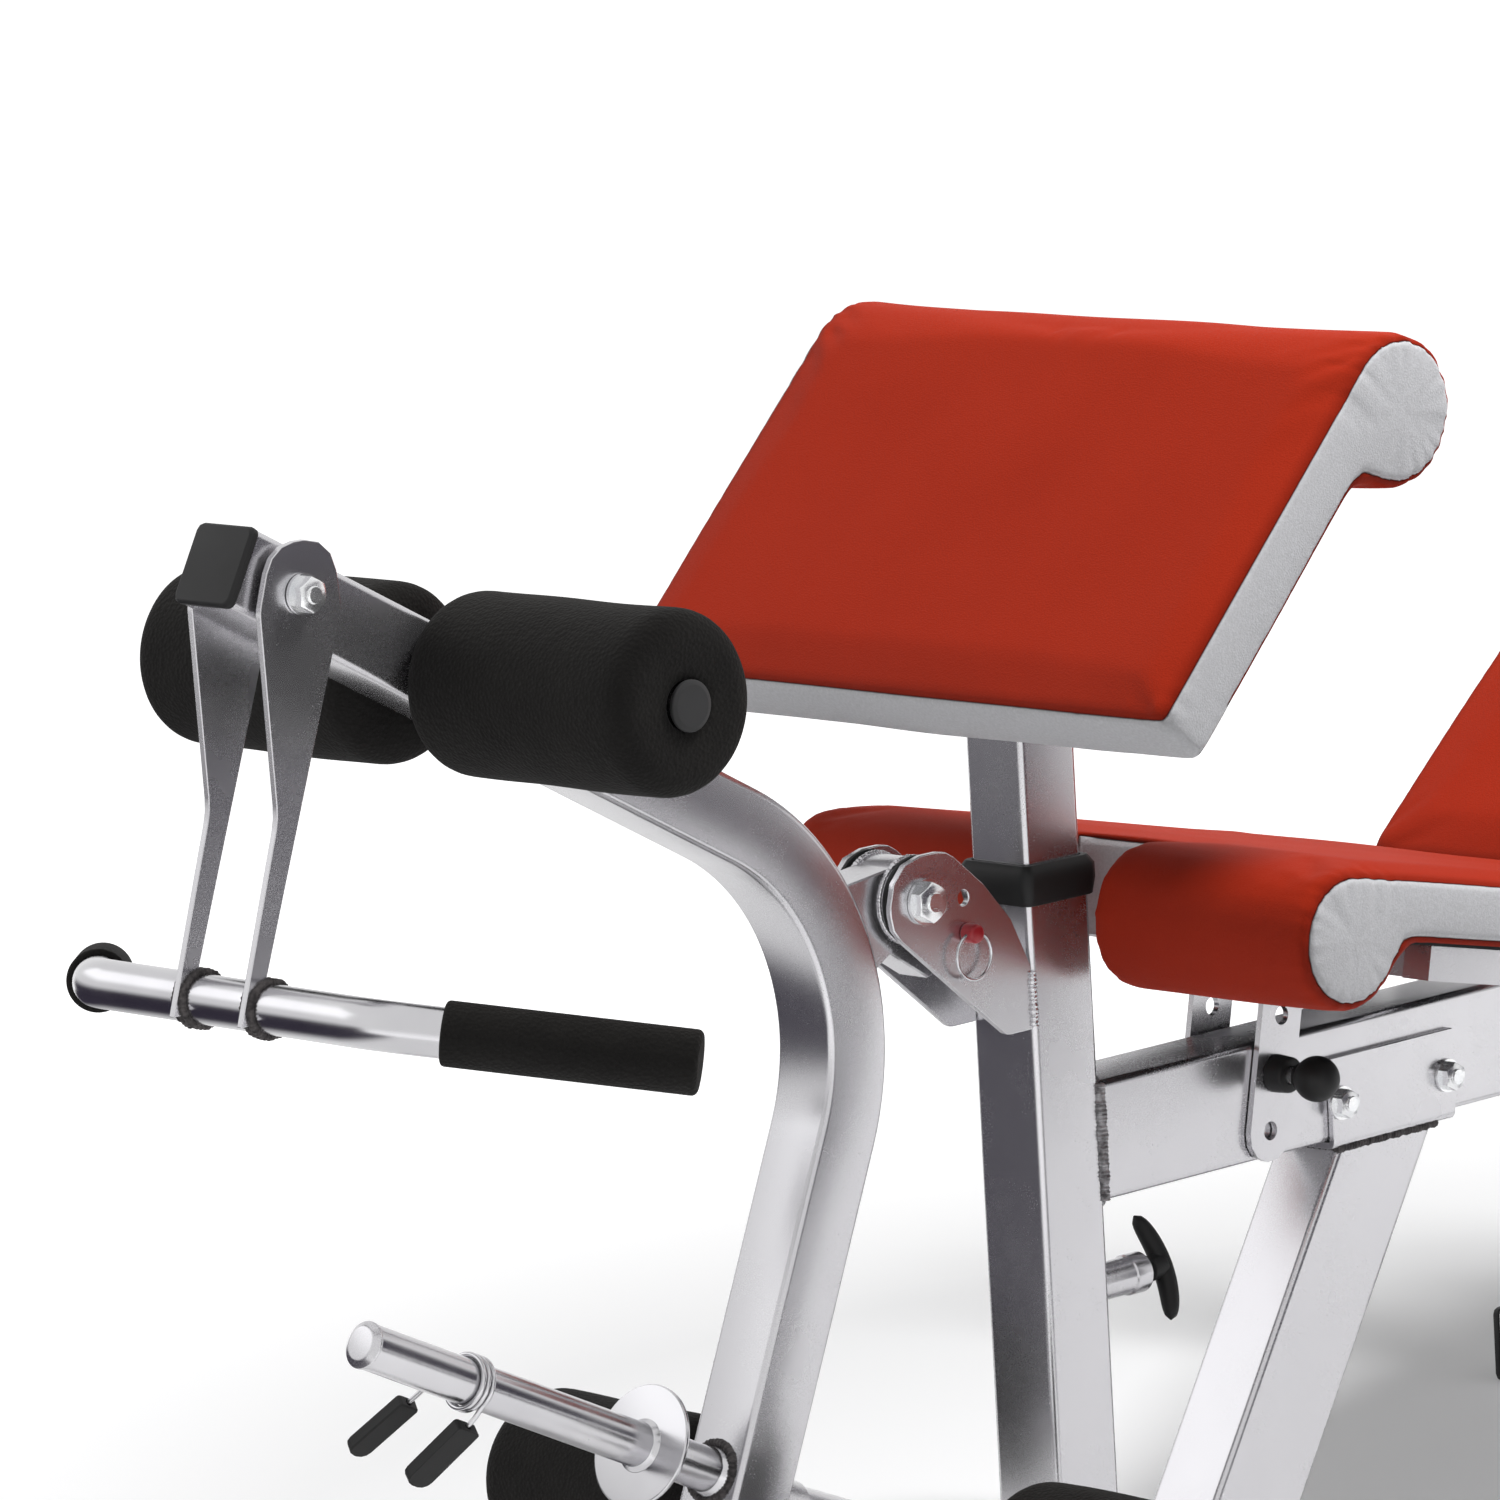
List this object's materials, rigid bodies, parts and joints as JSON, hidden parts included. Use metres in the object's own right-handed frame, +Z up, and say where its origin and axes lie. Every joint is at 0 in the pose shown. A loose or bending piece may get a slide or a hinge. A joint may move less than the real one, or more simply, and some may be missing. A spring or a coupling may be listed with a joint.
{
  "type": "bench press bench",
  "caption": "Weight bench with a tilting seat and backrest, barbell catches, a raised arm-curl pad and a leg lever with foam rollers, curl bar and weight peg",
  "frame": {"origin": "on the floor, at the underside of the front foot, below the middle of the front post", "axes": "+Z is up, +Y runs along the bench from the leg lever to the head end, and +X is the right-hand side seen from behind the leg lever"},
  "size_m": [0.7286, 1.6024, 0.932],
  "materials": {
    "silver_paint": "silver-grey metallic paint, glossy, on steel tube and plate",
    "bright_plating": "bright plated steel",
    "zinc_bolts": "zinc plated bolts and pin",
    "black_plastic": "black moulded plastic",
    "black_foam": "black closed-cell foam with a fine pebbled skin",
    "red_plastic": "red plastic button over the stop pin",
    "orange_red_vinyl": "orange-red coated fabric on the faces, silver-grey coated fabric on the sides, over foam"
  },
  "bodies": {
    "frame": {"front_post": "silver_paint", "front_foot": "silver_paint", "foot_cap_front_right": "black_plastic", "foot_cap_front_left": "black_plastic", "front_brace": "silver_paint", "brace_bolt_front": "zinc_bolts", "brace_bolt_rear": "zinc_bolts", "main_beam": "silver_paint", "rear_foot": "silver_paint", "foot_cap_rear_right": "black_plastic", "foot_cap_rear_left": "black_plastic", "upright_right": "silver_paint", "upright_left": "silver_paint", "upright_crossbar": "silver_paint", "upright_collar_right": "black_plastic", "upright_collar_left": "black_plastic", "post_collar": "black_plastic", "post_pin_housing": "silver_paint", "pivot_plate_right": "silver_paint", "pivot_plate_left": "silver_paint", "pivot_bolt": "zinc_bolts", "pivot_bushing": "black_plastic", "hinge_bolt": "zinc_bolts"},
    "arm_pad_carriage": {"arm_pad": "orange_red_vinyl", "arm_pad_post": "silver_paint"},
    "arm_pad_plunger": {"post_pin": "zinc_bolts", "post_pin_handle": "black_plastic"},
    "lever": {"lever_arm": "silver_paint", "lever_cap_top": "black_plastic", "lever_cap_bottom": "black_plastic", "weight_peg": "bright_plating", "peg_cap": "silver_paint", "hanger_bolt": "zinc_bolts"},
    "upper_rollers": {"upper_roller_bar": "bright_plating", "upper_foam_right": "black_foam", "upper_foam_left": "black_foam"},
    "lower_rollers": {"lower_roller_bar": "bright_plating", "lower_foam_right": "black_foam", "lower_foam_left": "black_foam"},
    "curl_handle": {"hanger_right": "silver_paint", "hanger_left": "silver_paint", "curl_bar": "bright_plating", "curl_grip_right": "black_foam", "curl_grip_left": "black_foam"},
    "spring_clip": {"clip_spring": "bright_plating", "clip_grip_outer": "black_plastic", "clip_grip_inner": "black_plastic"},
    "lever_stop": {"stop_pin": "red_plastic", "stop_ring": "bright_plating"},
    "seat": {"seat_pad": "orange_red_vinyl", "seat_frame": "silver_paint", "seat_pin_boss": "black_plastic"},
    "seat_plunger": {"seat_pin": "black_plastic"},
    "backrest": {"back_pad": "orange_red_vinyl", "back_frame": "silver_paint"},
    "backrest_plunger": {"back_pin": "black_plastic"},
    "catch_right": {"bar_catch_right": "silver_paint"},
    "catch_left": {"bar_catch_left": "silver_paint"},
    "catch_plunger_right": {"catch_pin_right": "black_plastic"},
    "catch_plunger_left": {"catch_pin_left": "black_plastic"}
  },
  "joints": [
    {"name": "arm_pad_height", "type": "slide", "parent": "frame", "child": "arm_pad_carriage", "axis": [0, 0, 1], "range_m": [-0.025, 0.1]},
    {"name": "arm_pad_pin", "type": "slide", "parent": "frame", "child": "arm_pad_plunger", "axis": [0, 1, 0], "range_m": [-0.006, 0.01], "stiffness_N_per_m": 300, "springref_m": -0.006},
    {"name": "lever_swing", "type": "hinge", "parent": "frame", "child": "lever", "pos_m": [0, -0.107, 0.505], "axis": [-1, 0, 0], "range_deg": [0, 40]},
    {"name": "upper_roller_spin", "type": "hinge", "parent": "lever", "child": "upper_rollers", "pos_m": [0, -0.43512, 0.67776], "axis": [1, 0, 0], "continuous": true},
    {"name": "lower_roller_spin", "type": "hinge", "parent": "lever", "child": "lower_rollers", "pos_m": [0, -0.1549, 0.14708], "axis": [1, 0, 0], "continuous": true},
    {"name": "curl_bar_swing", "type": "hinge", "parent": "lever", "child": "curl_handle", "pos_m": [0, -0.55042, 0.74141], "axis": [-1, 0, 0], "range_deg": [-30, 90]},
    {"name": "clip_slide", "type": "slide", "parent": "lever", "child": "spring_clip", "axis": [0, -0.8973, 0.4415], "range_m": [-0.1, 0.065]},
    {"name": "stop_pin_pull", "type": "slide", "parent": "frame", "child": "lever_stop", "axis": [1, 0, 0], "range_m": [0, 0.05]},
    {"name": "seat_tilt", "type": "hinge", "parent": "frame", "child": "seat", "pos_m": [0, 0.44, 0.395], "axis": [-1, 0, 0], "range_deg": [-7, 7]},
    {"name": "seat_pin_pull", "type": "slide", "parent": "seat", "child": "seat_plunger", "axis": [1, 0, 0], "range_m": [-0.006, 0.01], "stiffness_N_per_m": 300, "springref_m": -0.006},
    {"name": "backrest_tilt", "type": "hinge", "parent": "frame", "child": "backrest", "pos_m": [0, 0.44, 0.395], "axis": [1, 0, 0], "range_deg": [-40, 30]},
    {"name": "backrest_pin_pull", "type": "slide", "parent": "frame", "child": "backrest_plunger", "axis": [-1, 0, 0], "range_m": [-0.006, 0.01], "stiffness_N_per_m": 300, "springref_m": -0.006},
    {"name": "catch_height_right", "type": "slide", "parent": "frame", "child": "catch_right", "axis": [0, 0, 1], "range_m": [-0.1, 0.1]},
    {"name": "catch_height_left", "type": "slide", "parent": "frame", "child": "catch_left", "axis": [0, 0, 1], "range_m": [-0.1, 0.1]},
    {"name": "catch_pin_pull_right", "type": "slide", "parent": "frame", "child": "catch_plunger_right", "axis": [1, 0, 0], "range_m": [-0.006, 0.01], "stiffness_N_per_m": 300, "springref_m": -0.006},
    {"name": "catch_pin_pull_left", "type": "slide", "parent": "frame", "child": "catch_plunger_left", "axis": [-1, 0, 0], "range_m": [-0.006, 0.01], "stiffness_N_per_m": 300, "springref_m": -0.006}
  ]
}
